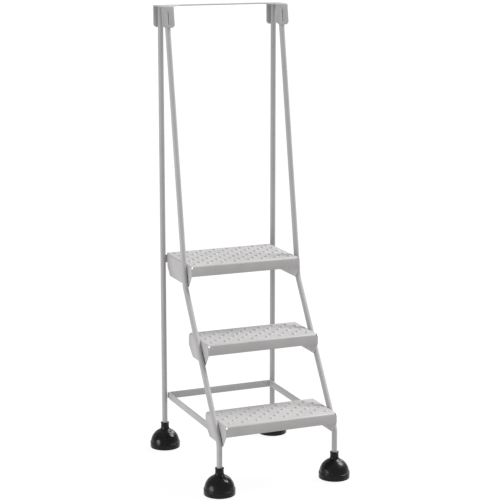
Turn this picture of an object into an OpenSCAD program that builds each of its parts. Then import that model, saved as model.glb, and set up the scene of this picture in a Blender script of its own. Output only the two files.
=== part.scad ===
// Rolling warehouse ladder: four steel tubes, three folded treads, a bracket rail
// across the top, a flat-bar brace round the base, and four rubber boots, each
// with a spring-loaded swivel caster inside it.
// Millimetres. +X right and +Y back, as seen from the front; +Z up.
// The origin is on the floor at the centre of the four feet.

/* [Frame] */
// left tube to right tube, centre to centre
base_w = 428; // [380:1:560]
// front foot to rear foot, centre to centre
base_d = 538; // [480:1:640]
// floor to the top of the rail
overall_h = 1608; // [1500:1:1900]
// outside diameter of the frame tube
tube_od = 19.05; // [19.05:0.05:25.4]
// wall of the frame tube
tube_wall = 1.65; // [1.2:0.05:2.4]
// floor to the end of the tube inside the boot
tube_bottom = 74; // [70:1:80]
// floor to the first bend of a front tube
bend1_z = 181; // [175:1:200]
// second bend, behind the front foot
bend2_y = 312.7; // [290:0.1:330]
// floor to the second bend
bend2_z = 653.5; // [640:0.5:680]
// top of a front tube, behind its foot
top_y = 476.5; // [460:0.5:490]
// centreline radius of the lower bend
bend1_r = 55; // [45:1:60]
// centreline radius of the upper bend
bend2_r = 80; // [60:1:120]

/* [Treads] */
// floor to the top of the lowest tread
step1_z = 247.6; // [240:0.1:255]
// rise from tread to tread
rise = 241.3; // [240:0.1:243]
// front of the lowest tread, ahead of the front feet
tread_lead = 36; // [30:1:45]
// run from tread to tread
run = 156.5; // [150:0.5:160]
// front to back of the two lower treads
tread_d = 190; // [180:1:195]
// front to back of the upper tread
top_tread_d = 262; // [262:1:262]
// sheet thickness of the treads
sheet = 2; // [1.5:0.1:2]
// outside radius of the folds
fold_r = 5; // [4:0.5:6]
// height of the front and rear flanges
front_h = 36.5; // [30:0.5:40]
// height of the end flanges
end_h = 77; // [60:1:80]
// radius of the relief hole at a corner
relief_r = 6.5; // [4:0.5:8]
// pitch of the raised buttons along a row
button_pitch = 50.8; // [50.8:0.1:50.8]
// distance between rows of buttons
button_row = 25.4; // [25.4:0.1:25.4]
// front edge to the first row
button_lead = 33.5; // [30:0.5:36]
// foot radius of a button
button_r1 = 7.6; // [4:0.1:8]
// top radius of a button
button_r2 = 4.4; // [2:0.1:5]
// height of a button
button_h = 3.2; // [1:0.1:4]

/* [Rail and brace] */
// thickness of the rail plate and its tabs
rail_t = 3; // [2:0.5:4]
// width of a tab
tab_w = 44; // [40:1:50]
// height of a tab, top face to lower edge
tab_h = 76; // [60:1:90]
// corner radius of a tab
tab_r = 12; // [6:1:14]
// front to back of the rail between its ends
rail_mid_d = 36; // [30:1:60]
// width of the slot in a tab
slot_w = 3; // [2:0.5:4]
// top face to the upper end of the slot
slot_top = 23; // [18:1:30]
// length of the slot
slot_l = 41; // [30:1:45]
// height of the flat bar
bar_h = 25.4; // [20:0.1:30]
// thickness of the flat bar
bar_t = 3; // [3:0.5:4]
// floor to the lower edge of the flat bar
bar_z = 187.6; // [186:0.1:190]
// outside radius of the brace's corners
bar_r = 6; // [5:1:12]
// how far the brace laps inside the lowest tread
bar_lap = 20; // [15:1:30]
// length of the weld beside a tread
weld_l = 34; // [20:1:40]
// length of the weld behind a tab
tab_weld_l = 50; // [30:1:56]
// width of a weld along the sheet
weld_side = 6.5; // [5:0.1:7]
// depth of a weld between the sheet and the tube
weld_deep = 2.6; // [2:0.1:3]

/* [Boots] */
// gap between the boot's rim and the floor
boot_gap = 5; // [4:0.5:7]
// radius of the rim band
band_r = 54; // [50:0.5:60]
// top of the rim band
band_z = 26; // [20:1:30]
// outside radius of the dome
dome_r = 52; // [48:0.5:58]
// floor to the dome's centre
dome_z = 22; // [18:1:26]
// wall of the boot
boot_wall = 4; // [3:0.5:5]
// outside radius of the neck
neck_r = 14.7; // [13:0.1:18]
// floor to the top of the neck
neck_z = 97.6; // [90:0.1:105]

/* [Casters] */
// wheel radius
wheel_r = 22.5; // [20:0.5:24]
// tread width of the wheel
wheel_w = 17; // [14:0.5:19]
// trail of the wheel behind the stem
trail = 15; // [12:0.5:16]
// axle radius
axle_r = 3.15; // [2.5:0.05:4]
// radial clearance of each running fit
fit = 0.05; // [0.02:0.01:0.1]
// axial gap between pieces that turn on each other
gap = 0.3; // [0.3:0.05:0.5]
// stem radius
stem_r = 5.5; // [5:0.1:6]
// radius of the stem's neck through the fork
stem_neck = 4; // [3:0.1:4.5]
// radius of the stem's collar
collar_r = 10; // [8:0.5:11]
// thickness of the stem's collar
collar_t = 3; // [2:0.5:4]
// thickness of the stem's head, under the spring
head_t = 3.7; // [3:0.1:5]
// radius of the thrust washer
washer_r = 11; // [10:0.5:13]
// thickness of the thrust washer
washer_t = 1.7; // [1:0.1:2.5]
// top of the guide bush
bush_top = 104; // [98:1:110]
// underside of the plug the spring bears on
plug_z = 155; // [150:1:160]
// radius of the spring wire
wire_r = 1; // [0.8:0.1:1.2]
// turns of the spring
coils = 8; // [6:1:10]
// radius of the fork's crown
crown_r = 14; // [12:0.5:16]
// thickness of a fork cheek
cheek_t = 2; // [1.5:0.1:3]
// gap between the wheel and a fork cheek
cheek_gap = 2; // [2:0.1:3]
// radius of the cheek round the axle
cheek_r = 7; // [6:0.5:9]
// radius of an axle head
rivet_r = 5; // [4:0.5:6]
// height of an axle head
rivet_t = 2; // [1:0.5:2]

/* [Hidden] */
$fn = 64;
hw = base_w / 2;
hd = base_d / 2;
tr = tube_od / 2;
ti = tr - tube_wall;
rail_z = overall_h - rail_t;
bend1_a = atan2(bend2_y, bend2_z - bend1_z);
bend2_a = atan2(top_y - bend2_y, rail_z - bend2_z);
tan1 = bend1_r * tan(bend1_a / 2);
tan2 = bend2_r * tan((bend1_a - bend2_a) / 2);
leg2 = norm([bend2_y, bend2_z - bend1_z]) - tan1 - tan2;
p1 = [0, bend1_z - tan1];
q1 = p1 + [bend1_r * (1 - cos(bend1_a)), bend1_r * sin(bend1_a)];
q2 = q1 + leg2 * [sin(bend1_a), cos(bend1_a)];
c2 = q2 + bend2_r * [-cos(bend1_a), sin(bend1_a)];
q3 = c2 + bend2_r * [cos(bend2_a), -sin(bend2_a)];
end_x = hw - tr;
front_y = [for (i = [0 : 2]) i * run - tread_lead - hd];
top_z = [for (i = [0 : 2]) step1_z + i * rise];
depth = [tread_d, tread_d, top_tread_d];
rows = [6, 6, 9];
corner = 6;
wing_in = 2.4;
wing_knee = 30;
wing_lap = 1.5;
wing_end = [tread_d - wing_in, tread_d - wing_in, 243];
wing_foot = [tread_d - 40, tread_d - 40, 218];
wing_drop = [42, 42, 47];
weld_drop = 20;
bar_x = end_x - sheet;
bar_front = front_y[0] + wing_end[0] - bar_lap;
bar_back = hd - tr;
rail_back = hd + tr + rail_t;
rail_front = -hd + top_y - (tr + rail_t) / cos(bend2_a);
crown_z = 50;
crown_t = 3;
collar_z = crown_z + crown_t + gap;
cheek_x = wheel_w / 2 + cheek_gap;
paint = [0.80, 0.80, 0.79];
black = [0.06, 0.06, 0.065];
zinc = [0.62, 0.63, 0.65];
grey = [0.30, 0.30, 0.31];
nylon = [0.85, 0.84, 0.78];

// one straight run of tube along z
module run_of_tube(l) {
    difference() {
        cylinder(r = tr, h = l);
        translate([0, 0, -1]) cylinder(r = ti, h = l + 2);
    }
}

// one bend in the YZ plane, about the origin, from angle a through turn, drawn a
// hair thin and let into the runs at both ends
module bend_of_tube(r, a, turn) {
    more = 30 / r;
    rotate([90, 0, 90]) rotate([0, 0, a - more]) rotate_extrude(angle = turn + 2 * more)
        translate([r, 0]) difference() {
            circle(tr - 0.04);
            circle(ti + 0.04);
        }
}

// children placed on the straight run of a front tube beside a tread, z along it
module on_leg(i) {
    z = top_z[i] - weld_drop;
    a = z > bend2_z ? bend2_a : bend1_a;
    y = z > bend2_z
        ? bend2_y + (z - bend2_z) * tan(bend2_a)
        : (z - bend1_z) * tan(bend1_a);
    translate([0, y - hd, z]) rotate([-a, 0, 0]) children();
}

// children placed at the top of a front tube, z along it
module on_tube_top() {
    translate([0, top_y - hd, rail_z]) rotate([-bend2_a, 0, 0]) children();
}

// both sides of the frame
module both() {
    children();
    mirror([1, 0, 0]) children();
}

// the two fillets where a tube runs past a flat face, which is at x = 0
module fillets(h) {
    for (s = [-1, 1]) difference() {
        translate([0, s > 0 ? 0.5 : -weld_side, -h / 2]) cube([weld_deep, weld_side - 0.5, h]);
        translate([tr, 0, -h / 2 - 1]) cylinder(r = tr, h = h + 2);
    }
}

module front_tube() {
    translate([hw, -hd, 0]) {
        translate([0, 0, tube_bottom]) run_of_tube(p1[1] - tube_bottom);
        translate([0, bend1_r, p1[1]]) bend_of_tube(bend1_r, 180 - bend1_a, bend1_a);
        translate([0, q1[0], q1[1]]) rotate([-bend1_a, 0, 0]) run_of_tube(leg2);
        translate([0, c2[0], c2[1]]) bend_of_tube(bend2_r, -bend1_a, bend1_a - bend2_a);
        difference() {
            translate([0, q3[0], q3[1]]) rotate([-bend2_a, 0, 0]) run_of_tube(1000);
            translate([-50, 0, rail_z]) cube([100, 1200, 1000]);
        }
    }
}

module front_tube_right() {
    color(paint) front_tube();
}

module front_tube_left() {
    color(paint) mirror([1, 0, 0]) front_tube();
}

module rear_post() {
    translate([hw, hd, tube_bottom]) difference() {
        cylinder(r = tr, h = rail_z - tube_bottom);
        translate([0, 0, -1]) cylinder(r = ti, h = rail_z - tube_bottom + 2);
    }
}

module rear_post_right() {
    color(paint) rear_post();
}

module rear_post_left() {
    color(paint) mirror([1, 0, 0]) rear_post();
}

// flat outline of a tab, top edge on y = 0
module tab_outline(h) {
    difference() {
        union() {
            translate([-tab_w / 2, tab_r - h]) square([tab_w, h - tab_r]);
            translate([tab_r - tab_w / 2, -h]) square([tab_w - 2 * tab_r, h]);
            for (s = [-1, 1]) translate([s * (tab_w / 2 - tab_r), tab_r - h]) circle(tab_r);
        }
        translate([-slot_w / 2, -slot_top - slot_l]) square([slot_w, slot_l]);
        for (y = [slot_top, slot_top + slot_l]) translate([0, -y]) circle(slot_w / 2);
    }
}

module top_rail() {
    lip = 0.5;
    flare = 40;
    x1 = hw - tab_w / 2 - lip;
    x2 = hw + tab_w / 2 + lip;
    ym = rail_back - rail_mid_d;
    yf = rail_front - 0.6;
    yb = rail_back + lip;
    color(paint) {
        translate([0, 0, rail_z]) linear_extrude(rail_t) polygon([
            [-x2, yf], [-x1, yf], [flare - x1, ym], [x1 - flare, ym],
            [x1, yf], [x2, yf], [x2, yb], [-x2, yb]]);
        both() {
            difference() {
                translate([hw, 0, 0]) on_tube_top() translate([0, -tr, rail_t])
                    rotate([90, 0, 0]) linear_extrude(rail_t) tab_outline(tab_h);
                translate([0, 0, rail_z + 1]) cube([300, 400, 20]);
            }
            translate([hw, rail_back, rail_z + 1]) rotate([90, 0, 0])
                linear_extrude(rail_t) tab_outline(tab_h - rail_t + 1);
        }
    }
}

// section of a folded sheet's outside, or of its inside when t is the sheet
module fold_shape(w, h, t) {
    r = fold_r - t;
    translate([t, -h - t]) square([w - 2 * t, h + t - fold_r]);
    translate([fold_r, -h - t]) square([w - 2 * fold_r, h]);
    for (x = [fold_r, w - fold_r]) translate([x, -fold_r]) circle(r);
}

// a top with two flanges folded down, w across the folds and l along them
module folded(w, h, l) {
    linear_extrude(l) difference() {
        fold_shape(w, h, 0);
        fold_shape(w, h, sheet);
    }
}

module tread(i) {
    d = depth[i];
    e = corner;
    wing = [[wing_in, -e], [wing_in, -front_h - wing_lap], [wing_knee, -end_h],
        [wing_foot[i], -end_h], [wing_end[i], -wing_drop[i]], [wing_end[i], -e]];
    color(paint) translate([0, front_y[i], top_z[i]]) difference() {
        union() {
            translate([e - end_x, 0, 0]) rotate([90, 0, 90]) folded(d, front_h, 2 * (end_x - e));
            translate([-end_x, wing_end[i] - 4, 0]) rotate([90, 0, 0])
                folded(2 * end_x, 20, wing_end[i] - 4 - e);
            for (x = [-end_x, end_x - e]) translate([x, 0, -front_h]) cube([e, sheet, front_h - e]);
            if (i == 2) for (x = [-end_x, end_x - e]) translate([x, d - sheet, -front_h])
                cube([e, sheet, front_h - e]);
            for (x = [-end_x, end_x - sheet]) translate([x, 0, 0]) rotate([90, 0, 90])
                linear_extrude(sheet) polygon(wing);
            for (r = [0 : rows[i] - 1])
                for (k = [0 : 7 - (r % 2)])
                    translate([(k - 3.5 + (r % 2) / 2) * button_pitch,
                               button_lead + r * button_row, 0])
                        cylinder(r1 = button_r1, r2 = button_r2, h = button_h);
        }
        for (x = [-1, 1], y = [0, d])
            translate([x * (end_x - 1), y == 0 ? 1 : d - 1, -2]) sphere(relief_r);
    }
}

module tread_lower() {
    tread(0);
}

module tread_middle() {
    tread(1);
}

module tread_upper() {
    tread(2);
}

// the brace's outline seen from above, inset by t
module brace_outline(t) {
    r = bar_r - t;
    x = bar_x - t;
    y = bar_back - t;
    translate([-x, bar_front - t]) square([2 * x, y - r - bar_front + t]);
    translate([r - x, bar_front - t]) square([2 * (x - r), y - bar_front + t]);
    for (s = [-1, 1]) translate([s * (x - r), y - r]) circle(r);
}

module base_brace() {
    color(paint) translate([0, 0, bar_z]) linear_extrude(bar_h) difference() {
        brace_outline(0);
        brace_outline(bar_t);
    }
}

module tread_welds() {
    color(paint) both() {
        for (i = [0 : 2]) translate([end_x, 0, 0]) on_leg(i) fillets(weld_l);
        translate([end_x, hd, top_z[2] - weld_drop]) difference() {
            translate([0, -6, -14]) cube([weld_deep, 5.5, 28]);
            translate([tr, 0, -15]) cylinder(r = tr, h = 30);
        }
    }
}

module rail_welds() {
    color(paint) both() {
        translate([hw, 0, 0]) on_tube_top() translate([0, -tr, -34])
            rotate([0, 0, 90]) fillets(tab_weld_l);
        translate([hw, hd + tr, rail_z - 36]) rotate([0, 0, -90]) fillets(tab_weld_l);
    }
}

module brace_welds() {
    color(paint) both() {
        difference() {
            translate([bar_x - 3.5, bar_back - 3.5, bar_z + 2]) cube([9.5, 9.5, bar_h - 4]);
            translate([0, 0, bar_z - 1]) linear_extrude(bar_h + 2) brace_outline(0);
            translate([hw, hd, bar_z - 1]) cylinder(r = tr, h = bar_h + 2);
        }
        translate([bar_x - bar_t, bar_front - 3, bar_z + 2]) cube([bar_t, 3, bar_h - 4]);
    }
}

// children placed at one foot: sx is -1 left or 1 right, sy -1 front or 1 rear
module at_foot(sx, sy) {
    translate([sx * hw, sy * hd, 0]) children();
}

module boot() {
    color(black) rotate_extrude() difference() {
        union() {
            translate([0, boot_gap]) square([band_r, band_z - boot_gap]);
            intersection() {
                translate([0, dome_z]) circle(dome_r);
                translate([0, dome_z]) square([dome_r + 1, dome_r + 1]);
            }
            translate([0, dome_z]) square([neck_r, neck_z - dome_z]);
            translate([0, neck_z - 4]) square([neck_r + 0.8, 3]);
        }
        intersection() {
            translate([0, dome_z]) circle(dome_r - boot_wall);
            translate([0, dome_z - 0.1]) square([dome_r, dome_r]);
        }
        translate([0, boot_gap - 1]) square([dome_r - boot_wall, dome_z - boot_gap + 1]);
        translate([0, dome_z]) square([tr, neck_z]);
    }
}

module bush() {
    bore = stem_r + fit;
    color(zinc) rotate_extrude() {
        translate([bore, tube_bottom - 3]) square([tr - bore, 3]);
        translate([bore, tube_bottom]) square([ti - bore, bush_top - tube_bottom]);
    }
}

module plug() {
    color(zinc) translate([0, 0, plug_z]) cylinder(r = ti, h = 4);
}

module stem() {
    color(zinc) rotate_extrude() {
        translate([0, crown_z - gap - 2.5]) square([6.5, 2.5]);
        translate([0, crown_z - gap - 1]) square([stem_neck, crown_t + 2 * gap + 3]);
        translate([0, collar_z + washer_t]) square([collar_r, collar_t]);
        translate([0, collar_z + 2]) square([stem_r, bush_top - collar_z]);
        translate([0, bush_top + gap]) square([ti - 0.4, head_t]);
    }
}

module washer() {
    color(nylon) translate([0, 0, collar_z]) difference() {
        cylinder(r = washer_r, h = washer_t);
        translate([0, 0, -1]) cylinder(r = stem_neck, h = washer_t + 2);
    }
}

// a wire wound up the z axis, built ring by ring
module spring() {
    z0 = bush_top + gap + head_t;
    h = plug_z - z0;
    steps = 12 * coils;
    sides = 6;
    rc = ti - 0.9 - wire_r;
    lift = h - 2 * wire_r;
    pts = [for (i = [0 : steps]) let (
            t = i / steps,
            a = 360 * coils * t,
            z = z0 + wire_r + lift * t)
        for (k = [0 : sides - 1]) let (b = 360 * k / sides + 30)
            [(rc + wire_r * cos(b)) * cos(a), (rc + wire_r * cos(b)) * sin(a),
             z + wire_r * sin(b)]];
    faces = concat(
        [[for (k = [0 : sides - 1]) k]],
        [[for (k = [0 : sides - 1]) steps * sides + sides - 1 - k]],
        [for (i = [0 : steps - 1], k = [0 : sides - 1]) let (n = (k + 1) % sides)
            [i * sides + k, (i + 1) * sides + k, (i + 1) * sides + n, i * sides + n]]);
    color(zinc) polyhedron(pts, faces, convexity = 10);
}

module fork() {
    out = cheek_x + cheek_t;
    back = trail + 2;
    color(zinc) {
        difference() {
            union() {
                translate([0, 0, crown_z]) cylinder(r = crown_r, h = crown_t);
                translate([-out, 0, crown_z]) cube([2 * out, back, crown_t]);
            }
            translate([0, 0, crown_z - 1]) cylinder(r = stem_neck + fit, h = crown_t + 2);
        }
        for (x = [-out, cheek_x]) difference() {
            translate([x, 0, 0]) rotate([90, 0, 90]) linear_extrude(cheek_t) {
                polygon([[-8, crown_z], [trail - cheek_r, wheel_r],
                         [trail + cheek_r, wheel_r], [back, crown_z]]);
                translate([trail, wheel_r]) circle(cheek_r);
            }
            translate([x - 1, trail, wheel_r]) rotate([0, 90, 0])
                cylinder(r = axle_r, h = cheek_t + 2);
        }
    }
}

module axle() {
    out = cheek_x + cheek_t;
    color(zinc) translate([0, trail, wheel_r]) rotate([0, 90, 0]) {
        translate([0, 0, -out]) cylinder(r = axle_r, h = 2 * out);
        translate([0, 0, -out - rivet_t]) cylinder(r = rivet_r, h = rivet_t);
        translate([0, 0, out]) cylinder(r = rivet_r, h = rivet_t);
    }
}

module wheel() {
    w = wheel_w / 2;
    boss = w + cheek_gap - gap;
    rim = 6;
    soft = 1.5;
    color(grey) translate([0, trail, wheel_r]) rotate([0, 90, 0]) rotate_extrude() {
        translate([axle_r + fit, -boss]) square([4, 2 * boss]);
        translate([axle_r + fit, -w / 2]) square([wheel_r - rim, w]);
        translate([wheel_r - rim, -w]) square([rim - soft, 2 * w]);
        translate([wheel_r - rim, soft - w]) square([rim, 2 * (w - soft)]);
        for (s = [-1, 1]) translate([wheel_r - soft, s * (w - soft)]) circle(soft);
    }
}

module boot_front_left() { at_foot(-1, -1) boot(); }
module boot_front_right() { at_foot(1, -1) boot(); }
module boot_rear_left() { at_foot(-1, 1) boot(); }
module boot_rear_right() { at_foot(1, 1) boot(); }
module bush_front_left() { at_foot(-1, -1) bush(); }
module bush_front_right() { at_foot(1, -1) bush(); }
module bush_rear_left() { at_foot(-1, 1) bush(); }
module bush_rear_right() { at_foot(1, 1) bush(); }
module plug_front_left() { at_foot(-1, -1) plug(); }
module plug_front_right() { at_foot(1, -1) plug(); }
module plug_rear_left() { at_foot(-1, 1) plug(); }
module plug_rear_right() { at_foot(1, 1) plug(); }
module stem_front_left() { at_foot(-1, -1) stem(); }
module stem_front_right() { at_foot(1, -1) stem(); }
module stem_rear_left() { at_foot(-1, 1) stem(); }
module stem_rear_right() { at_foot(1, 1) stem(); }
module washer_front_left() { at_foot(-1, -1) washer(); }
module washer_front_right() { at_foot(1, -1) washer(); }
module washer_rear_left() { at_foot(-1, 1) washer(); }
module washer_rear_right() { at_foot(1, 1) washer(); }
module spring_front_left() { at_foot(-1, -1) spring(); }
module spring_front_right() { at_foot(1, -1) spring(); }
module spring_rear_left() { at_foot(-1, 1) spring(); }
module spring_rear_right() { at_foot(1, 1) spring(); }
module fork_front_left() { at_foot(-1, -1) fork(); }
module fork_front_right() { at_foot(1, -1) fork(); }
module fork_rear_left() { at_foot(-1, 1) fork(); }
module fork_rear_right() { at_foot(1, 1) fork(); }
module axle_front_left() { at_foot(-1, -1) axle(); }
module axle_front_right() { at_foot(1, -1) axle(); }
module axle_rear_left() { at_foot(-1, 1) axle(); }
module axle_rear_right() { at_foot(1, 1) axle(); }
module wheel_front_left() { at_foot(-1, -1) wheel(); }
module wheel_front_right() { at_foot(1, -1) wheel(); }
module wheel_rear_left() { at_foot(-1, 1) wheel(); }
module wheel_rear_right() { at_foot(1, 1) wheel(); }

front_tube_left();
front_tube_right();
rear_post_left();
rear_post_right();
top_rail();
tread_lower();
tread_middle();
tread_upper();
base_brace();
tread_welds();
rail_welds();
brace_welds();
boot_front_left();
boot_front_right();
boot_rear_left();
boot_rear_right();
bush_front_left();
bush_front_right();
bush_rear_left();
bush_rear_right();
plug_front_left();
plug_front_right();
plug_rear_left();
plug_rear_right();
stem_front_left();
stem_front_right();
stem_rear_left();
stem_rear_right();
washer_front_left();
washer_front_right();
washer_rear_left();
washer_rear_right();
spring_front_left();
spring_front_right();
spring_rear_left();
spring_rear_right();
fork_front_left();
fork_front_right();
fork_rear_left();
fork_rear_right();
axle_front_left();
axle_front_right();
axle_rear_left();
axle_rear_right();
wheel_front_left();
wheel_front_right();
wheel_rear_left();
wheel_rear_right();
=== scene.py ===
"""A rolling warehouse ladder: three folded steel treads on a frame of bent tube,
with a bracket rail across the top and four rubber boots over spring casters.
Metres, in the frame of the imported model: +X right, +Y back, +Z up."""

import math

import bmesh
import bpy
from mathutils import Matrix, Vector


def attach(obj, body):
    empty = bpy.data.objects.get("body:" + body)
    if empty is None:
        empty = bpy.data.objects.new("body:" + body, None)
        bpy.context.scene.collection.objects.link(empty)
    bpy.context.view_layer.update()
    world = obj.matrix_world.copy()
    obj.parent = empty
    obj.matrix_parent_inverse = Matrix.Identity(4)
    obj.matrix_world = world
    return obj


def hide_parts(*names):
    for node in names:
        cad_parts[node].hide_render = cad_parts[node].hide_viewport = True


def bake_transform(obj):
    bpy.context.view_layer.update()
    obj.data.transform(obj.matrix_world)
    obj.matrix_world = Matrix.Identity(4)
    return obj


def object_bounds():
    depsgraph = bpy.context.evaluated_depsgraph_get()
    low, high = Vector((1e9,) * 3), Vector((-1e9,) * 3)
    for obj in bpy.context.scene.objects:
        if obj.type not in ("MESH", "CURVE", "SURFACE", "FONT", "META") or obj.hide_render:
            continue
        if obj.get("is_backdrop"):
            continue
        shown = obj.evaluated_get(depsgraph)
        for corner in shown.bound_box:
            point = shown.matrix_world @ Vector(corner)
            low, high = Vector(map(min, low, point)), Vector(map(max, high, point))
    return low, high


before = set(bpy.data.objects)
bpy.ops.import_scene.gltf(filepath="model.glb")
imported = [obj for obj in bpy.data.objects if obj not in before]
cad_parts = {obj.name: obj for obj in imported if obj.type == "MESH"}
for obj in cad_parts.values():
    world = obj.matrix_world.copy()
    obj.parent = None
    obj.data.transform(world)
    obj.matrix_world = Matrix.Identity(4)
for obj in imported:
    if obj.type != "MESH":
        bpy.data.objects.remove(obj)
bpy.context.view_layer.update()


# Front tubes. Two lengths of 3/4 in. round steel tube, each bent twice in a tube
# bender so that it climbs back under the treads and then stands up to the rail.
# Powder coated after welding, in a warm pale grey with a fine orange peel.
tube_r = 0.009525
tube_wall = 0.00165
foot_x = 0.214
foot_y = 0.269
tube_foot = 0.074
rail_under = 1.605
low_bend_z = 0.181
low_bend_r = 0.055
high_bend_back = 0.3127
high_bend_z = 0.6535
high_bend_r = 0.080
upper_run = 0.96
top_back = 0.4765
lean = math.atan2(high_bend_back, high_bend_z - low_bend_z)
rake = math.atan2(top_back - high_bend_back, rail_under - high_bend_z)
near = 0.00002


def start():
    """Lets go of everything, so that an operator works on the new piece only."""
    bpy.ops.object.select_all(action="DESELECT")


def open_piece(name):
    """Names the new primitive, puts its place into its mesh and opens it."""
    piece = bpy.context.object
    piece.name = name
    piece.data.name = name
    bpy.ops.object.transform_apply(location=True, rotation=True, scale=True)
    bpy.ops.object.mode_set(mode="EDIT")
    bpy.ops.mesh.select_mode(type="VERT")
    return piece


def pick(kind, test):
    """Selects the corners, edges or faces all of whose corners pass the test."""
    bpy.ops.mesh.select_mode(type=kind)
    bpy.ops.mesh.select_all(action="DESELECT")
    mesh = bmesh.from_edit_mesh(bpy.context.object.data)
    if kind == "VERT":
        for corner in mesh.verts:
            corner.select_set(test(corner.co))
    else:
        for part in mesh.edges if kind == "EDGE" else mesh.faces:
            part.select_set(all(test(corner.co) for corner in part.verts))
    bmesh.update_edit_mesh(bpy.context.object.data)


def draw_out(x=0.0, y=0.0, z=0.0):
    """Extrudes what is selected."""
    bpy.ops.mesh.extrude_region_move(TRANSFORM_OT_translate={"value": (x, y, z)})


def bend(centre, axis, angle, steps):
    """Sweeps what is selected round a centre, as a bender or a press brake does.
    The angle is right-handed about the axis, which spin takes the other way."""
    bpy.ops.mesh.spin(steps=steps, angle=-angle, center=centre, axis=axis)


def shift(test, x=0.0, y=0.0, z=0.0):
    """Moves the corners that pass the test."""
    pick("VERT", test)
    bpy.ops.transform.translate(value=(x, y, z))


def face_outwards():
    """Merges doubles and turns every face outwards."""
    bpy.ops.mesh.select_all(action="SELECT")
    bpy.ops.mesh.remove_doubles(threshold=near / 2)
    bpy.ops.mesh.normals_make_consistent(inside=False)


def apply_modifier(piece, name, kind, **settings):
    """Adds one modifier and applies it."""
    added = piece.modifiers.new(name, kind)
    for setting, value in settings.items():
        setattr(added, setting, value)
    bpy.context.view_layer.objects.active = piece
    bpy.ops.object.modifier_apply(modifier=added.name)


def close_sheet(piece, thickness, edge):
    """Gives a drawn surface its thickness and eased edges, and shades it."""
    face_outwards()
    bpy.ops.object.mode_set(mode="OBJECT")
    apply_modifier(
        piece, "thickness", "SOLIDIFY", thickness=thickness, offset=-1, use_even_offset=True
    )
    ease_edges(piece, edge)


def ease_edges(piece, edge):
    """Rounds the sharp edges a little and shades the rest smooth."""
    if edge:
        apply_modifier(
            piece,
            "eased",
            "BEVEL",
            width=edge,
            segments=2,
            limit_method="ANGLE",
            angle_limit=math.radians(50),
        )
    start()
    piece.select_set(True)
    bpy.context.view_layer.objects.active = piece
    bpy.ops.object.shade_smooth_by_angle(angle=math.radians(38))


def copy_of(piece, name):
    """A copy with its own mesh, left selected and active."""
    start()
    piece.select_set(True)
    bpy.context.view_layer.objects.active = piece
    bpy.ops.object.duplicate()
    twin = bpy.context.object
    twin.name = name
    twin.data.name = name
    return twin


def other_hand(piece, name):
    """The same piece made for the other side of the ladder."""
    twin = copy_of(piece, name)
    bpy.ops.object.mode_set(mode="EDIT")
    bpy.ops.mesh.select_all(action="SELECT")
    bpy.ops.transform.resize(value=(-1, 1, 1), center_override=(0, 0, 0))
    bpy.ops.mesh.flip_normals()
    bpy.ops.object.mode_set(mode="OBJECT")
    return twin


def moved_copy(piece, name, by):
    """A copy of the piece moved by a vector, its place in its mesh."""
    twin = copy_of(piece, name)
    bpy.ops.object.mode_set(mode="EDIT")
    bpy.ops.mesh.select_all(action="SELECT")
    bpy.ops.transform.translate(value=by)
    bpy.ops.object.mode_set(mode="OBJECT")
    return twin


def finish_with(piece, material, slot, body, *nodes):
    """Gives a piece its finish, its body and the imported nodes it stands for."""
    piece.data.materials.clear()
    piece.data.materials.append(material)
    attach(piece, body)
    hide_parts(*nodes)


def new_material(name):
    """A material with its shader and a shared object-space coordinate."""
    material = bpy.data.materials.new(name)
    material.use_nodes = True
    nodes = material.node_tree.nodes
    shader = nodes["Principled BSDF"]
    place = nodes.new("ShaderNodeTexCoord")
    return material, nodes, material.node_tree.links, shader, place.outputs["Object"]


def noise(nodes, links, place, scale, detail=2.0, rough=0.5):
    """A noise pattern at so many features to the metre."""
    pattern = nodes.new("ShaderNodeTexNoise")
    pattern.inputs["Scale"].default_value = scale
    pattern.inputs["Detail"].default_value = detail
    pattern.inputs["Roughness"].default_value = rough
    links.new(place, pattern.inputs["Vector"])
    return pattern.outputs["Fac"]


def tones(nodes, links, value, *stops):
    """Colours for a pattern, as (position, (red, green, blue)) stops."""
    ramp = nodes.new("ShaderNodeValToRGB")
    while len(ramp.color_ramp.elements) < len(stops):
        ramp.color_ramp.elements.new(0.5)
    for element, (position, colour) in zip(ramp.color_ramp.elements, stops):
        element.position = position
        element.color = (*colour, 1)
    links.new(value, ramp.inputs["Fac"])
    return ramp.outputs["Color"]


def spread(nodes, links, value, low, high):
    """The middle of a pattern's range turned into a number from low to high."""
    ranged = nodes.new("ShaderNodeMapRange")
    ranged.inputs["From Min"].default_value = 0.3
    ranged.inputs["From Max"].default_value = 0.7
    ranged.inputs["To Min"].default_value = low
    ranged.inputs["To Max"].default_value = high
    links.new(value, ranged.inputs["Value"])
    return ranged.outputs["Result"]


def relief(nodes, links, shader, height, strength, distance):
    """Fine relief on a surface, distance in metres."""
    bump = nodes.new("ShaderNodeBump")
    bump.inputs["Strength"].default_value = strength
    bump.inputs["Distance"].default_value = distance
    links.new(height, bump.inputs["Height"])
    links.new(bump.outputs["Normal"], shader.inputs["Normal"])


def coat_material(name, darker, lighter, peel):
    """Baked powder coat: slight clouds of tone, uneven gloss and orange peel."""
    material, nodes, links, shader, place = new_material(name)
    clouds = noise(nodes, links, place, 14, detail=4)
    colour = tones(nodes, links, clouds, (0.3, darker), (0.7, lighter))
    links.new(colour, shader.inputs["Base Color"])
    gloss = noise(nodes, links, place, 120, detail=3)
    links.new(spread(nodes, links, gloss, 0.33, 0.45), shader.inputs["Roughness"])
    skin = noise(nodes, links, place, 620, detail=1.5)
    relief(nodes, links, shader, skin, peel, 0.0002)
    shader.inputs["Specular IOR Level"].default_value = 0.16
    shader.inputs["Coat Weight"].default_value = 0.03
    shader.inputs["Coat Roughness"].default_value = 0.25
    return material


powder_coat = coat_material("powder_coat_grey", (0.337, 0.331, 0.331), (0.367, 0.361, 0.361), 0.10)

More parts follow.
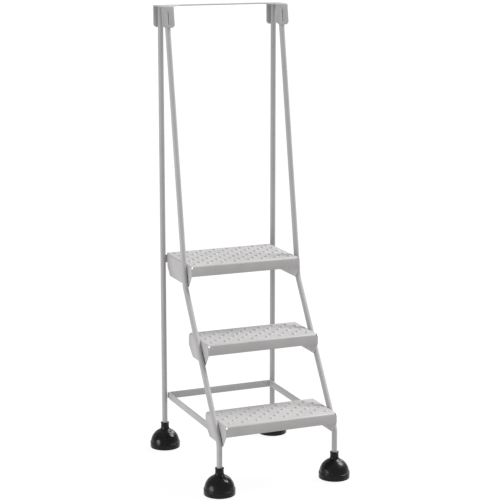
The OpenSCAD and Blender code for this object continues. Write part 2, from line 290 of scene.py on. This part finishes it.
low_run_top = low_bend_z - low_bend_r * math.tan(lean / 2)
leg_run = (
    math.hypot(high_bend_back, high_bend_z - low_bend_z)
    - low_bend_r * math.tan(lean / 2)
    - high_bend_r * math.tan((lean - rake) / 2)
)
leg_foot = (
    -foot_y + low_bend_r * (1 - math.cos(lean)),
    low_run_top + low_bend_r * math.sin(lean),
)
leg_top = (
    leg_foot[0] + leg_run * math.sin(lean),
    leg_foot[1] + leg_run * math.cos(lean),
)
high_bend = (
    leg_top[0] - high_bend_r * math.cos(lean),
    leg_top[1] + high_bend_r * math.sin(lean),
)

start()
bpy.ops.mesh.primitive_circle_add(
    vertices=32, radius=tube_r, fill_type="NOTHING", location=(foot_x, -foot_y, tube_foot)
)
front_right = open_piece("front_tube_right_bent")
bpy.ops.mesh.select_all(action="SELECT")
draw_out(z=low_run_top - tube_foot)
bend((foot_x, -foot_y + low_bend_r, low_run_top), (1, 0, 0), -lean, 12)
draw_out(y=leg_run * math.sin(lean), z=leg_run * math.cos(lean))
bend((foot_x, *high_bend), (1, 0, 0), lean - rake, 10)
draw_out(y=upper_run * math.sin(rake), z=upper_run * math.cos(rake))
bpy.ops.mesh.select_all(action="SELECT")
bpy.ops.mesh.bisect(
    plane_co=(0, 0, rail_under), plane_no=(0, 0, 1), clear_outer=True, use_fill=False
)
close_sheet(front_right, tube_wall, 0)
front_left = other_hand(front_right, "front_tube_left_bent")
finish_with(front_right, powder_coat, "powder_coat", "frame", "front_tube_right")
finish_with(front_left, powder_coat, "powder_coat", "frame", "front_tube_left")


# Rear posts. The same tube, left straight, standing upright from the boots to the
# rail. Sawn square at both ends and welded to the rail's rear tabs and the upper
# tread.
# The posts carry the same powder coat as the front tubes. This copy of it is made darker as
# painted shade, to darken the posts.
post_coat_painted_shade = coat_material("powder_coat_post_painted_shade", (0.302, 0.298, 0.300), (0.330, 0.326, 0.328), 0.10)

start()
bpy.ops.mesh.primitive_circle_add(
    vertices=32, radius=tube_r, fill_type="NOTHING", location=(foot_x, foot_y, tube_foot)
)
post_right = open_piece("rear_post_right_tube")
bpy.ops.mesh.select_all(action="SELECT")
draw_out(z=rail_under - tube_foot)
close_sheet(post_right, tube_wall, 0)
post_left = other_hand(post_right, "rear_post_left_tube")
finish_with(post_right, post_coat_painted_shade, "powder_coat", "frame", "rear_post_right")
finish_with(post_left, post_coat_painted_shade, "powder_coat", "frame", "rear_post_left")


# Treads. Sheet steel with staggered rows of buttons pressed up as a foothold, then
# folded down on all four sides, with a relief notch at each corner. The deep end
# flanges are cropped below and welded to the tubes.
tread_end = 0.204475
sheet = 0.002
sheet_edge = 0.0003
fold = 0.005
fold_steps = 6
flat_enough = 0.998
notch = 0.0065
below_notch = 0.0085
flange = 0.0365
wing_front = 0.0024
wing_corner = 0.038
wing_knee = 0.030
wing_deep = 0.077
lower_top = 0.2476
upper_top = 0.7302
tread_rise = 0.2413
tread_run = 0.1565
button_pitch = 0.0508
button_row = 0.0254
button_lead = 0.0335
button_rings = (
    (0.0076, 0.0),
    (0.0071, 0.0004),
    (0.0061, 0.0018),
    (0.0050, 0.0028),
    (0.0028, 0.0032),
)

# The treads carry the same powder coat as the frame. This copy of it is made paler as painted
# light, to brighten the tread tops.
tread_coat_painted_light = coat_material(
    "powder_coat_tread_painted_light", (0.350, 0.342, 0.341), (0.388, 0.380, 0.378), 0.12
)


def press_buttons(first, across, along):
    """One pressed button, repeated across and along the sheet."""
    start()
    bpy.ops.mesh.primitive_circle_add(
        vertices=12, radius=button_rings[0][0], fill_type="NOTHING", location=first
    )
    field = open_piece("buttons")
    bpy.ops.mesh.select_all(action="SELECT")
    for (wide, low), (narrow, high) in zip(button_rings, button_rings[1:]):
        draw_out(z=high - low)
        bpy.ops.transform.resize(value=(narrow / wide, narrow / wide, 1), center_override=first)
    bpy.ops.mesh.edge_face_add()
    bpy.ops.object.mode_set(mode="OBJECT")
    for name, count, step in (
        ("across", across, (button_pitch, 0, 0)),
        ("along", along, (0, 2 * button_row, 0)),
    ):
        apply_modifier(
            field,
            name,
            "ARRAY",
            count=count,
            use_relative_offset=False,
            use_constant_offset=True,
            constant_offset_displace=step,
        )
    return field


def blank(name, place, wide, deep, turn=(0, 0, 0)):
    """A flat blank of a given size, opened for shaping."""
    start()
    bpy.ops.mesh.primitive_plane_add(size=1, location=place, rotation=turn)
    bpy.context.object.scale = (wide, deep, 1)
    return open_piece(name)


def fold_tread(name, front, top, deep, rows, wing_foot, wing_back, wing_drop, fold_back):
    """One tread: punched, cropped and folded from a single sheet."""
    side = tread_end - fold
    tread = blank(name, (0, front + deep / 2, top), 2 * side, deep - 2 * fold)
    bpy.ops.mesh.select_all(action="SELECT")
    bpy.ops.mesh.bevel(offset=notch - fold, segments=1, affect="VERTICES")
    bpy.ops.mesh.delete(type="ONLY_FACE")
    columns = [wing_knee, wing_foot]
    if fold_back < deep - notch - near:
        columns.append(fold_back)
    pick("EDGE", lambda c: abs(c.x) > side - near)
    bpy.ops.mesh.subdivide(number_cuts=len(columns))
    for k, column in enumerate(columns):
        is_at = front + notch + (k + 1) * (deep - 2 * notch) / (len(columns) + 1)
        shift(
            lambda c: abs(c.x) > side - near and abs(c.y - is_at) < near,
            y=front + column - is_at,
        )
    bpy.ops.object.mode_set(mode="OBJECT")

    even = press_buttons((-3.5 * button_pitch, front + button_lead, top), 8, (rows + 1) // 2)
    odd = press_buttons((-3 * button_pitch, front + button_lead + button_row, top), 7, rows // 2)
    start()
    for part in (even, odd, tread):
        part.select_set(True)
    bpy.context.view_layer.objects.active = tread
    bpy.ops.object.join()
    bpy.ops.object.mode_set(mode="EDIT")
    pick("EDGE", lambda c: abs(c.z - top) < near)
    bpy.ops.mesh.fill(use_beauty=True)

    for y, way in ((front, 1), (front + deep, -1)):
        pick("EDGE", lambda c: abs(c.y - y - way * fold) < near and abs(c.z - top) < near)
        bend((0, y + way * fold, top - fold), (1, 0, 0), way * math.pi / 2, fold_steps)
        draw_out(z=fold - below_notch)
        draw_out(z=below_notch - flange)
        if way == 1 or wing_back < deep - 2 * notch:
            for hand in (-1, 1):
                pick(
                    "EDGE",
                    lambda c: abs(c.y - y) < near
                    and hand * c.x > side - notch + fold - near
                    and c.z < top - below_notch + near,
                )
                draw_out(x=hand * notch)
    for hand in (-1, 1):
        pick(
            "EDGE",
            lambda c: hand * c.x > side - near
            and abs(c.z - top) < near
            and c.y < front + fold_back + near,
        )
        bend((hand * side, 0, top - fold), (0, 1, 0), hand * math.pi / 2, fold_steps)
        draw_out(z=fold - below_notch)

    def on_wing(c, below):
        return abs(c.x) > tread_end - near and abs(c.z - top + below) < near

    def on_column(c, below, back):
        return on_wing(c, below) and abs(c.y - front - back) < near

    shift(lambda c: on_column(c, below_notch, notch), y=wing_front - notch)
    shift(lambda c: on_column(c, below_notch, fold_back), y=wing_back - fold_back)
    pick("EDGE", lambda c: on_wing(c, below_notch) and c.y > front + near)
    draw_out(z=below_notch - wing_corner)
    for column, drop in ((wing_knee, wing_deep), (wing_foot, wing_deep), (wing_back, wing_drop)):
        shift(lambda c: on_column(c, wing_corner, column), z=wing_corner - drop)
    close_sheet(tread, sheet, sheet_edge)
    for face in tread.data.polygons:
        face.use_smooth = abs(face.normal.z) < flat_enough
    return tread


tread_low = fold_tread(
    "tread_lower_folded",
    front=-0.305,
    top=lower_top,
    deep=0.190,
    rows=6,
    wing_foot=0.150,
    wing_back=0.1876,
    wing_drop=0.042,
    fold_back=0.1835,
)
tread_mid = moved_copy(tread_low, "tread_middle_folded", (0, tread_run, tread_rise))
tread_top = fold_tread(
    "tread_upper_folded",
    front=0.008,
    top=upper_top,
    deep=0.262,
    rows=9,
    wing_foot=0.218,
    wing_back=0.243,
    wing_drop=0.047,
    fold_back=0.239,
)
finish_with(tread_low, tread_coat_painted_light, "powder_coat", "frame", "tread_lower")
finish_with(tread_mid, tread_coat_painted_light, "powder_coat", "frame", "tread_middle")
finish_with(tread_top, tread_coat_painted_light, "powder_coat", "frame", "tread_upper")


# Top rail. One blank of 3 mm plate, narrow in the middle, with four slotted tabs
# bent down on a press brake. The front tabs follow the raked tubes, the rear ones
# stand behind the posts, and all four are welded on.
plate = 0.003
plate_edge = 0.0005
plate_top = 1.608
tab_half = 0.022
tab_drop = 0.076
tab_corner = 0.012
tab_foot_band = 0.004
bend_out = 0.004
strip_deep = 0.036
flare = 0.040
slot_half = 0.0015
slot_top = 0.023
slot_long = 0.041
punch_long = 0.02
rail_back = foot_y + tube_r + plate
tab_off = tube_r + plate
slide = (plate - bend_out + (bend_out - tab_off) * math.sin(rake)) / math.cos(rake)
front_fold = (
    -foot_y + top_back - tab_off * math.cos(rake) + slide * math.sin(rake)
    + bend_out * math.cos(rake)
)
rear_fold = rail_back - bend_out
inner_tab = foot_x - tab_half
strip_half = inner_tab - flare

rail = blank(
    "top_rail_bent",
    (0, (rear_fold + rail_back - strip_deep) / 2, plate_top),
    2 * strip_half,
    rear_fold - rail_back + strip_deep,
)
for hand in (-1, 1):
    pick("EDGE", lambda c: hand * c.x > strip_half - near)
    draw_out(x=hand * flare)
    shift(
        lambda c: hand * c.x > inner_tab - near and c.y < rear_fold - near,
        y=front_fold - rail_back + strip_deep,
    )
    pick("EDGE", lambda c: hand * c.x > inner_tab - near)
    draw_out(x=hand * 2 * tab_half)
pick("EDGE", lambda c: abs(c.x) < inner_tab + near and c.y > rear_fold - near)
draw_out(y=bend_out)
for hand in (1, -1):
    shift(
        lambda c: hand * c.x > inner_tab - near and c.y > rail_back - near,
        x=-hand * bend_out,
    )


def on_fold(c, side, y):
    """Whether a corner lies on the fold line of a tab on that side."""
    return side * c.x > inner_tab - near and abs(c.z - plate_top) < near and abs(c.y - y) < near


run_down = slide + tab_drop - plate
for hand in (-1, 1):
    pick("EDGE", lambda c: on_fold(c, hand, rear_fold))
    bend((0, rear_fold, plate_top - bend_out), (1, 0, 0), -math.pi / 2, fold_steps)
    draw_out(z=bend_out - tab_drop)
    pick("EDGE", lambda c: on_fold(c, hand, front_fold))
    bend((0, front_fold, plate_top - bend_out), (1, 0, 0), math.pi / 2 - rake, fold_steps)
    draw_out(y=-run_down * math.sin(rake), z=-run_down * math.cos(rake))
pick("VERT", lambda c: c.z < plate_top - tab_drop + tab_foot_band)
bpy.ops.mesh.bevel(offset=tab_corner, segments=7, affect="VERTICES")
face_outwards()
bpy.ops.object.mode_set(mode="OBJECT")
apply_modifier(rail, "thickness", "SOLIDIFY", thickness=plate, offset=-1, use_even_offset=True)


def slot_cutter(name, y, z, turn):
    """The punch for a tab's slot: a round bar stretched along the tab."""
    start()
    bpy.ops.mesh.primitive_cylinder_add(
        vertices=24,
        radius=slot_half,
        depth=punch_long,
        location=(foot_x, 0, 0),
        rotation=(math.pi / 2, 0, 0),
    )
    punch = open_piece(name)
    shift(lambda c: c.z < -near, z=-slot_long)
    bpy.ops.object.mode_set(mode="OBJECT")
    punch.rotation_euler = (turn, 0, 0)
    punch.location = (0, y, z)
    bpy.ops.object.transform_apply(location=True, rotation=True, scale=True)
    return punch


front_slot_z = plate - slot_top
punches = [
    slot_cutter("punch_rear", rail_back, plate_top - slot_top, 0),
    slot_cutter(
        "punch_front",
        -foot_y + top_back - tab_off * math.cos(rake) + front_slot_z * math.sin(rake),
        rail_under + tab_off * math.sin(rake) + front_slot_z * math.cos(rake),
        -rake,
    ),
]
punches += [other_hand(punch, punch.name + "_left") for punch in punches]
for punch in punches:
    apply_modifier(rail, "slot", "BOOLEAN", object=punch, operation="DIFFERENCE", solver="EXACT")
for punch in punches:
    bpy.data.objects.remove(punch)
ease_edges(rail, plate_edge)
finish_with(rail, powder_coat, "powder_coat", "frame", "top_rail")


# Base brace. One 1 x 1/8 in. flat bar bent into a U that runs round the back of the
# base between the posts and laps inside the lowest tread, where it is welded.
bar_side = 0.202475
bar_front = -0.1374
bar_back = 0.259475
bar_low = 0.1876
bar_high = 0.0254
bar_thick = 0.003
bar_bend = 0.006
brace = blank(
    "base_brace_bent",
    (-bar_side, (bar_front + bar_back - bar_bend) / 2, bar_low + bar_high / 2),
    bar_high,
    bar_back - bar_bend - bar_front,
    (0, math.pi / 2, 0),
)
pick("EDGE", lambda c: c.y > bar_back - bar_bend - near)
bend((bar_bend - bar_side, bar_back - bar_bend, 0), (0, 0, 1), -math.pi / 2, fold_steps)
draw_out(x=2 * (bar_side - bar_bend))
bend((bar_side - bar_bend, bar_back - bar_bend, 0), (0, 0, 1), -math.pi / 2, fold_steps)
draw_out(y=bar_front - bar_back + bar_bend)
close_sheet(brace, bar_thick, plate_edge)
finish_with(brace, powder_coat, "powder_coat", "frame", "base_brace")


# Welds. Short runs of MIG bead where the treads, the rail's tabs and the brace meet
# the tubes, laid as overlapping ripples before the powder coat went on.
bead_r = 0.0019
bead_dip_r = bead_r * 0.84
bead_start_r = bead_r * 0.55
bead_stop_r = bead_r * 0.5
ripple = 0.0011
sunk = 0.0008
bead_apart = 0.005
weld_drop = 0.020
tab_weld_z = 1.569
tab_weld_below = 0.034
bar_bead_out = 0.0026
bar_bead_in = 0.0012


def bead(name, length):
    """One run of weld, standing on the origin, made ripple by ripple."""
    start()
    bpy.ops.mesh.primitive_circle_add(
        vertices=10, radius=bead_start_r, fill_type="NGON", location=(0, 0, -length / 2)
    )
    run = open_piece(name)
    bpy.ops.mesh.select_all(action="SELECT")
    steps = 2 * round(length / (2 * ripple))
    width = bead_start_r
    for k in range(1, steps + 1):
        wide = bead_r if k % 2 else bead_dip_r
        if k == steps:
            wide = bead_stop_r
        draw_out(z=length / steps)
        level = -length / 2 + k * length / steps
        bpy.ops.transform.resize(value=(wide / width,) * 2 + (1,), center_override=(0, 0, level))
        width = wide
    face_outwards()
    bpy.ops.object.mode_set(mode="OBJECT")
    bpy.ops.object.shade_smooth()
    return run


def lay_bead(pattern, name, place, turn=(0, 0, 0)):
    """A copy of a bead, turned and put in place."""
    run = copy_of(pattern, name)
    run.rotation_euler = turn
    run.location = place
    bpy.ops.object.transform_apply(location=True, rotation=True, scale=True)
    return run


def join_beads(name, runs):
    """All the beads of one kind as one piece."""
    start()
    for run in runs:
        run.select_set(True)
    bpy.context.view_layer.objects.active = runs[0]
    bpy.ops.object.join()
    runs[0].name = name
    runs[0].data.name = name
    return runs[0]


long_bead = bead("bead", 0.034)
tab_bead = bead("bead_tab", 0.050)
short_bead = bead("bead_short", 0.021)
tread_runs = []
for step_top, foot_z, foot_back, angle in (
    (lower_top, low_bend_z, 0, lean),
    (lower_top + tread_rise, low_bend_z, 0, lean),
    (upper_top, high_bend_z, high_bend_back, rake),
):
    z = step_top - weld_drop
    y = foot_back + (z - foot_z) * math.tan(angle) - foot_y
    for hand in (-1, 1):
        for off in (-bead_apart, bead_apart):
            spot = (
                hand * (tread_end + sunk),
                y + off * math.cos(angle),
                z - off * math.sin(angle),
            )
            tread_runs.append(lay_bead(long_bead, "bead_run", spot, (-angle, 0, 0)))
for hand in (-1, 1):
    spot = (hand * (tread_end + sunk), foot_y - bead_apart, upper_top - weld_drop)
    tread_runs.append(lay_bead(short_bead, "bead_run", spot))
rail_runs = []
off = sunk - tube_r
for hand in (-1, 1):
    for way in (-1, 1):
        x = hand * foot_x + way * bead_apart
        rail_runs.append(lay_bead(tab_bead, "bead_run", (x, foot_y - off, tab_weld_z)))
        spot = (
            x,
            top_back - foot_y + off * math.cos(rake) - tab_weld_below * math.sin(rake),
            rail_under - off * math.sin(rake) - tab_weld_below * math.cos(rake),
        )
        rail_runs.append(lay_bead(tab_bead, "bead_run", spot, (-rake, 0, 0)))
brace_runs = []
for hand in (-1, 1):
    for x, y in (
        (bar_side + bar_bead_out, bar_back - bar_bead_in),
        (bar_side - bar_bead_in, bar_back + bar_bead_out),
        (bar_side - bar_bead_in, bar_front - bar_bead_in),
    ):
        brace_runs.append(lay_bead(short_bead, "bead_run", (hand * x, y, bar_low + bar_high / 2)))
for pattern in (long_bead, tab_bead, short_bead):
    bpy.data.objects.remove(pattern)
tread_welds = join_beads("tread_weld_beads", tread_runs)
rail_welds = join_beads("rail_weld_beads", rail_runs)
brace_welds = join_beads("brace_weld_beads", brace_runs)
finish_with(tread_welds, powder_coat, "powder_coat", "frame", "tread_welds")
finish_with(rail_welds, powder_coat, "powder_coat", "frame", "rail_welds")
finish_with(brace_welds, powder_coat, "powder_coat", "frame", "brace_welds")


# Boots. Bell-shaped black rubber mouldings pushed up over the ends of the tubes.
# They hide the casters and meet the floor and grip it when the springs give under a
# climber's weight. The rim has a thick band and the neck a small bead.
rubber, nodes, links, shader, place = new_material("boot_rubber_black")
bloom = noise(nodes, links, place, 22, detail=5, rough=0.6)
links.new(
    tones(nodes, links, bloom, (0.35, (0.002, 0.002, 0.0021)), (0.72, (0.005, 0.005, 0.0049))),
    shader.inputs["Base Color"],
)
links.new(spread(nodes, links, bloom, 0.12, 0.30), shader.inputs["Roughness"])
relief(nodes, links, shader, noise(nodes, links, place, 60, detail=3, rough=0.5), 0.4, 0.005)
shader.inputs["Specular IOR Level"].default_value = 0.2


def turned(name, outline, centre, along_x=False, steps=48):
    """A closed outline of (radius, height) points swept once round its axis."""
    points = [
        Vector(centre) + (Vector((h, r, 0)) if along_x else Vector((r, 0, h)))
        for r, h in outline
    ]
    start()
    bpy.ops.mesh.primitive_plane_add(size=0.001, location=points[0])
    piece = open_piece(name)
    bpy.ops.mesh.select_all(action="SELECT")
    bpy.ops.mesh.merge(type="CENTER")
    closing = points[1:] if outline[0][0] == 0 else points[1:] + points[:1]
    for before, after in zip(points, closing):
        draw_out(*(after - before))
    bpy.ops.mesh.select_all(action="SELECT")
    bend(centre, (1, 0, 0) if along_x else (0, 0, 1), 2 * math.pi, steps)
    face_outwards()
    bpy.ops.object.mode_set(mode="OBJECT")
    bpy.ops.object.shade_smooth_by_angle(angle=math.radians(42))
    return piece


def arc(radius, level, first, last, count):
    """Points of an arc about the axis, by angle up from the horizontal."""
    angles = [math.radians(first + (last - first) * k / (count - 1)) for k in range(count)]
    return [(radius * math.cos(a), level + radius * math.sin(a)) for a in angles]


boot_outline = (
    [(0.0490, 0.0050), (0.0530, 0.0050), (0.0537, 0.0053), (0.0540, 0.0060)]
    + [(0.0540, 0.0240), (0.0537, 0.0251), (0.0530, 0.0258), (0.0519, 0.0262)]
    + arc(0.0520, 0.022, 6, 66, 13)
    + [(0.0188, 0.0712), (0.0170, 0.0732), (0.0157, 0.0760), (0.0149, 0.0795)]
    + [(0.0147, 0.0850), (0.0147, 0.0930), (0.0150, 0.0936), (0.0154, 0.0939)]
    + [(0.0155, 0.0945), (0.0155, 0.0958), (0.0152, 0.0966), (0.0146, 0.0971)]
    + [(0.0137, 0.0975), (0.0110, 0.0976), (0.0101, 0.0972), (0.0096, 0.0962)]
    + [(0.0096, 0.0700)]
    + arc(0.0480, 0.022, 77, 3, 12)
    + [(0.0480, 0.0062), (0.0483, 0.0053)]
)
corners = (
    ("front_left", -1, -1),
    ("front_right", 1, -1),
    ("rear_left", -1, 1),
    ("rear_right", 1, 1),
)
boot = turned("boot_pattern", boot_outline, (0, 0, 0), steps=64)
for corner, hand, way in corners:
    moulding = moved_copy(boot, "rubber_boot_" + corner, (hand * foot_x, way * foot_y, 0))
    finish_with(moulding, rubber, "rubber", "frame", "boot_" + corner)
bpy.data.objects.remove(boot)


# Caster ironwork. A pressed bush in the end of each tube guides a plated stem under a
# plug, and a washer takes the weight. These are kept as they are, with bright zinc
# and white nylon for the thrust washers.
zinc, nodes, links, shader, place = new_material("zinc_plate")
spangle = noise(nodes, links, place, 260, detail=3)
links.new(
    tones(nodes, links, spangle, (0.3, (0.50, 0.51, 0.53)), (0.7, (0.68, 0.68, 0.66))),
    shader.inputs["Base Color"],
)
links.new(spread(nodes, links, spangle, 0.26, 0.42), shader.inputs["Roughness"])
relief(nodes, links, shader, noise(nodes, links, place, 1400), 0.1, 0.0001)
shader.inputs["Metallic"].default_value = 1.0

white_nylon, nodes, links, shader, place = new_material("nylon_natural")
flow = noise(nodes, links, place, 180, detail=2)
links.new(
    tones(nodes, links, flow, (0.3, (0.66, 0.64, 0.56)), (0.7, (0.74, 0.72, 0.66))),
    shader.inputs["Base Color"],
)
links.new(spread(nodes, links, flow, 0.38, 0.5), shader.inputs["Roughness"])
for corner, hand, way in corners:
    for kind, finish in (
        ("bush_", zinc),
        ("plug_", zinc),
        ("stem_", zinc),
        ("washer_", white_nylon),
    ):
        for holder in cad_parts[kind + corner].material_slots:
            holder.material = finish


# Caster springs. Hard-drawn steel wire coiled cold and oiled. Each stands on its
# stem's head under the plug, and closes up as the caster is pushed into its boot.
spring_wire, nodes, links, shader, place = new_material("spring_wire")
scale_marks = noise(nodes, links, place, 800, detail=3)
links.new(
    tones(nodes, links, scale_marks, (0.35, (0.10, 0.105, 0.12)), (0.7, (0.21, 0.21, 0.22))),
    shader.inputs["Base Color"],
)
links.new(spread(nodes, links, scale_marks, 0.30, 0.48), shader.inputs["Roughness"])
shader.inputs["Metallic"].default_value = 1.0

wire_r = 0.001
coil_r = 0.005975
coil_foot = 0.108
coil_top = 0.155
coils = 8

start()
bpy.ops.mesh.primitive_circle_add(
    vertices=8, radius=wire_r, fill_type="NOTHING", rotation=(math.pi / 2, 0, 0)
)
coil = open_piece("coil_pattern")
bpy.ops.mesh.select_all(action="SELECT")
bpy.ops.transform.translate(value=(coil_r, 0, coil_foot + wire_r))
bpy.ops.object.mode_set(mode="OBJECT")
coil_rise = coil_top - coil_foot - 2 * wire_r
apply_modifier(
    coil,
    "winding",
    "SCREW",
    axis="Z",
    screw_offset=coil_rise / coils,
    iterations=coils,
    steps=24,
    render_steps=24,
)
bpy.ops.object.mode_set(mode="EDIT")
for low in (coil_foot, coil_foot + coil_rise):
    pick(
        "EDGE",
        lambda c: c.x > 0 and abs(c.y) < near and abs(c.z - low - wire_r) < wire_r + near,
    )
    bpy.ops.mesh.edge_face_add()
bpy.ops.mesh.select_all(action="SELECT")
bpy.ops.mesh.normals_make_consistent(inside=False)
bpy.ops.object.mode_set(mode="OBJECT")
ease_edges(coil, 0)
for corner, hand, way in corners:
    spot = (hand * foot_x, way * foot_y)
    winding = moved_copy(coil, "caster_spring_" + corner, (*spot, 0))
    winding.data.materials.append(spring_wire)
    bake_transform(winding)
    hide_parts("spring_" + corner)
bpy.data.objects.remove(coil)


# Caster forks. Stamped steel, bent into a U over the wheel, with a raised race round
# the stem's hole. Zinc plated, and free to turn on the stem.
trail = 0.015
axle_z = 0.0225
crown = 0.050
leg_out = 0.0125
leg_thick = 0.002
fork_bend = 0.003
fork_top = crown + 0.0026
race_r = 0.006
leg_y = 0.0045
leg_wide = 0.025
leg_taper_front = 0.016
leg_taper_back = 0.005
leg_end = 0.007
leg_end_r = 0.0066
fork_pattern = turned(
    "fork_pattern",
    [
        (0.00405, crown + 0.0003),
        (0.0045, crown),
        (0.0132, crown),
        (0.0140, crown + 0.0008),
        (0.0140, crown + 0.0022),
        (0.0132, crown + 0.0030),
        (0.0045, crown + 0.0030),
        (0.00405, crown + 0.0027),
    ],
    (0, 0, 0),
)
cheeks = []
for hand in (-1, 1):
    bend_x = leg_out - fork_bend
    cheek = blank(
        "cheek",
        (hand * (race_r + bend_x) / 2, leg_y, fork_top),
        bend_x - race_r,
        leg_wide,
    )
    pick("EDGE", lambda c: hand * c.x > bend_x - near)
    bend((hand * bend_x, 0, fork_top - fork_bend), (0, 1, 0), hand * math.pi / 2, 5)
    draw_out(z=axle_z - fork_top + fork_bend)
    leg_back = leg_y + leg_wide / 2
    shift(lambda c: abs(c.z - axle_z) < near and c.y < 0, y=leg_taper_front)
    shift(lambda c: abs(c.z - axle_z) < near and c.y > leg_back - near, y=leg_taper_back)
    pick("EDGE", lambda c: abs(c.z - axle_z) < near)
    draw_out(z=-leg_end)
    pick("VERT", lambda c: c.z < axle_z - leg_end + near)
    bpy.ops.mesh.bevel(offset=leg_end_r, segments=5, affect="VERTICES")
    close_sheet(cheek, leg_thick, sheet_edge)
    cheeks.append(cheek)
start()
for part in (*cheeks, fork_pattern):
    part.select_set(True)
bpy.context.view_layer.objects.active = fork_pattern
bpy.ops.object.join()
for corner, hand, way in corners:
    fork = moved_copy(fork_pattern, "caster_fork_" + corner, (hand * foot_x, way * foot_y, 0))
    finish_with(fork, zinc, "zinc_steel", "swivel_" + corner, "fork_" + corner)
bpy.data.objects.remove(fork_pattern)


# Axles. Plated steel rivets through the forks and the wheels, with a domed head
# closed up against the outside of each cheek.
axle_outline = [
    (0.0, -0.0145),
    (0.0024, -0.0143),
    (0.0040, -0.0136),
    (0.0050, -0.0126),
    (0.00315, -0.0125),
    (0.00315, 0.0125),
    (0.0050, 0.0126),
    (0.0040, 0.0136),
    (0.0024, 0.0143),
    (0.0, 0.0145),
]
axle = turned("axle_pattern", axle_outline, (0, trail, axle_z), along_x=True, steps=24)
for corner, hand, way in corners:
    rivet = moved_copy(axle, "caster_axle_" + corner, (hand * foot_x, way * foot_y, 0))
    finish_with(rivet, zinc, "zinc_steel", "swivel_" + corner, "axle_" + corner)
bpy.data.objects.remove(axle)


# Wheels. Soft grey tread moulded on to a hub of harder nylon, with a boss either side
# and a dished web between the bore and the rim.
tyre, nodes, links, shader, place = new_material("wheel_tread_grey")
wear = noise(nodes, links, place, 150, detail=4)
links.new(
    tones(nodes, links, wear, (0.35, (0.045, 0.045, 0.047)), (0.7, (0.085, 0.084, 0.082))),
    shader.inputs["Base Color"],
)
links.new(spread(nodes, links, wear, 0.5, 0.68), shader.inputs["Roughness"])
relief(nodes, links, shader, noise(nodes, links, place, 1100), 0.2, 0.0002)

hub_r = 0.0171
hub, nodes, links, shader, place = new_material("wheel_hub_nylon")
flow = noise(nodes, links, place, 130, detail=2)
links.new(
    tones(nodes, links, flow, (0.3, (0.20, 0.20, 0.205)), (0.7, (0.27, 0.27, 0.27))),
    shader.inputs["Base Color"],
)
links.new(spread(nodes, links, flow, 0.36, 0.5), shader.inputs["Roughness"])
half_wheel = [
    (0.0032, 0.0099),
    (0.0036, 0.0102),
    (0.0066, 0.0102),
    (0.0072, 0.0098),
    (0.0078, 0.0052),
    (0.0092, 0.0043),
    (0.0150, 0.0044),
    (0.0164, 0.0052),
    (0.0168, 0.0080),
    (0.0173, 0.0085),
    (0.0207, 0.0085),
    (0.0217, 0.0081),
    (0.0223, 0.0072),
    (0.0225, 0.0060),
]
wheel_outline = [(r, -h) for r, h in half_wheel] + half_wheel[::-1]
wheel = turned("wheel_pattern", wheel_outline, (0, trail, axle_z), along_x=True, steps=48)
for corner, hand, way in corners:
    roller = moved_copy(wheel, "caster_wheel_" + corner, (hand * foot_x, way * foot_y, 0))
    finish_with(roller, tyre, "wheel_rubber", "wheel_" + corner, "wheel_" + corner)
    roller.data.materials.append(hub)
    axis = Vector((0, way * foot_y + trail, axle_z))
    for face in roller.data.polygons:
        middle = face.center - axis
        face.material_index = int(math.hypot(middle.y, middle.z) < hub_r)
bpy.data.objects.remove(wheel)


# Studio. A plain white floor under an even sky. One broad soft light comes from high
# on the right, with a soft box behind it and another low on the left.
start()
bpy.ops.mesh.primitive_plane_add(size=60, location=(0, 0, -0.0002))
floor = bpy.context.object
floor.name = "floor"
floor_finish, nodes, links, shader, place = new_material("floor_white")
shader.inputs["Base Color"].default_value = (0.04, 0.04, 0.04, 1)
shader.inputs["Roughness"].default_value = 0.9
shader.inputs["Specular IOR Level"].default_value = 0.1
shader.inputs["Emission Color"].default_value = (1, 1, 1, 1)
shader.inputs["Emission Strength"].default_value = 0.95
floor.data.materials.append(floor_finish)
floor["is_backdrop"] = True

world = bpy.data.worlds.new("studio")
bpy.context.scene.world = world
world.use_nodes = True
sky = world.node_tree.nodes["Background"]
sky.inputs["Color"].default_value = (1, 1, 1, 1)
seen = world.node_tree.nodes.new("ShaderNodeLightPath")
level = world.node_tree.nodes.new("ShaderNodeMapRange")
level.inputs["To Min"].default_value = 0.68
level.inputs["To Max"].default_value = 1.0
world.node_tree.links.new(seen.outputs["Is Camera Ray"], level.inputs["Value"])
world.node_tree.links.new(level.outputs["Result"], sky.inputs["Strength"])


def soft_light(name, size, power, place, aim):
    """A square soft box aimed at a point."""
    lamp = bpy.data.lights.new(name, "AREA")
    lamp.size = size
    lamp.energy = power
    holder = bpy.data.objects.new(name, lamp)
    bpy.context.scene.collection.objects.link(holder)
    holder.location = place
    holder.rotation_euler = (Vector(aim) - Vector(place)).to_track_quat("-Z", "Y").to_euler()


skylight = bpy.data.lights.new("skylight", "SUN")
skylight.energy = 4.25
skylight.angle = math.radians(30)
ceiling = bpy.data.objects.new("skylight", skylight)
bpy.context.scene.collection.objects.link(ceiling)
ceiling.rotation_euler = Vector((-0.85, 0.02, -1)).to_track_quat("-Z", "Y").to_euler()
soft_light("back_right", 1.2, 45, (3.4, 2.4, 2.4), (0, 0, 0.5))
soft_light("left_side", 1.4, 62, (-3.6, -0.5, 0.6), (0, 0, 0.4))

lens = bpy.data.cameras.new("camera")
lens.sensor_width = 36
lens.lens = 116.93
lens.clip_end = 100
camera = bpy.data.objects.new("camera", lens)
bpy.context.scene.collection.objects.link(camera)
camera.location = (-2.1305, -5.0931, 1.9381)
camera.rotation_euler = Vector((0.37919, 0.90205, -0.20620)).to_track_quat("-Z", "Y").to_euler()
bpy.context.scene.camera = camera
bpy.context.scene.view_settings.view_transform = "Standard"

low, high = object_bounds()
